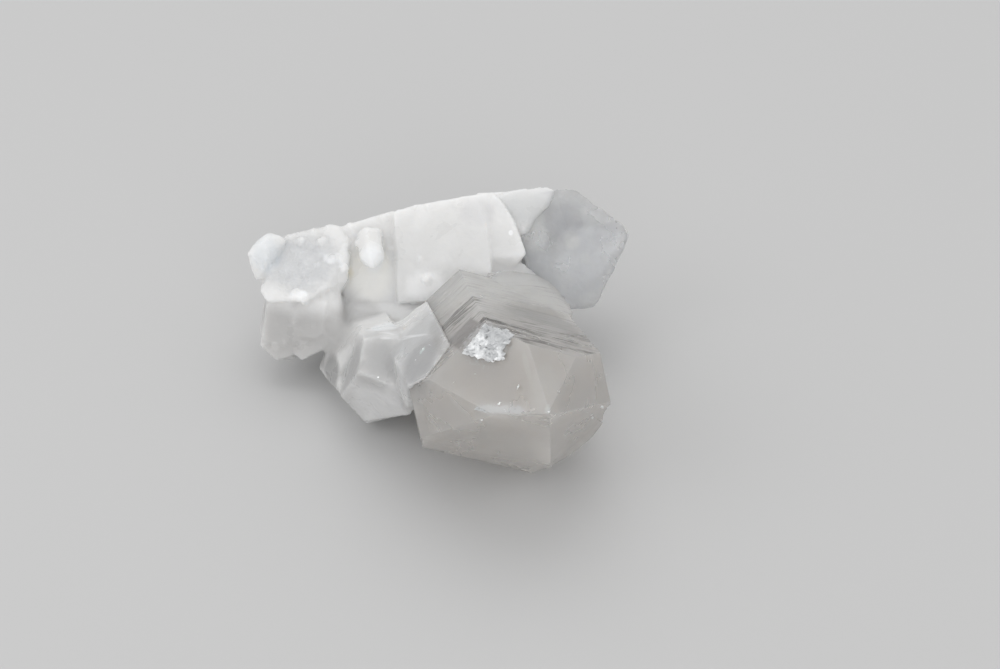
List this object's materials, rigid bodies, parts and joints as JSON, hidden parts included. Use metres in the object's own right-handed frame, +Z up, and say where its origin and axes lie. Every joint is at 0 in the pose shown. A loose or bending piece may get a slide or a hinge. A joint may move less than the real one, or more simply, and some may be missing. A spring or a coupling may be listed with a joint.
{
  "type": "quartz cluster",
  "caption": "Free-standing natural cluster of semi-clear and milky quartz crystals grown out of one broken milky root, lying on its flat broken underside.",
  "frame": {"origin": "middle of the bounding box, on the surface that the cluster rests on", "axes": "+X along the row of milky blocks, towards the right crystal; +Y away from the front crystal's tip; +Z up"},
  "size_m": [0.0822, 0.0806, 0.0403],
  "materials": {
    "clear_quartz": "semi-clear natural crystal with striated and etched faces",
    "milky_quartz": "cloudy white broken quartz, satin to frosted"
  },
  "bodies": {
    "root": {"quartz_cluster": "clear_quartz"}
  },
  "joints": []
}
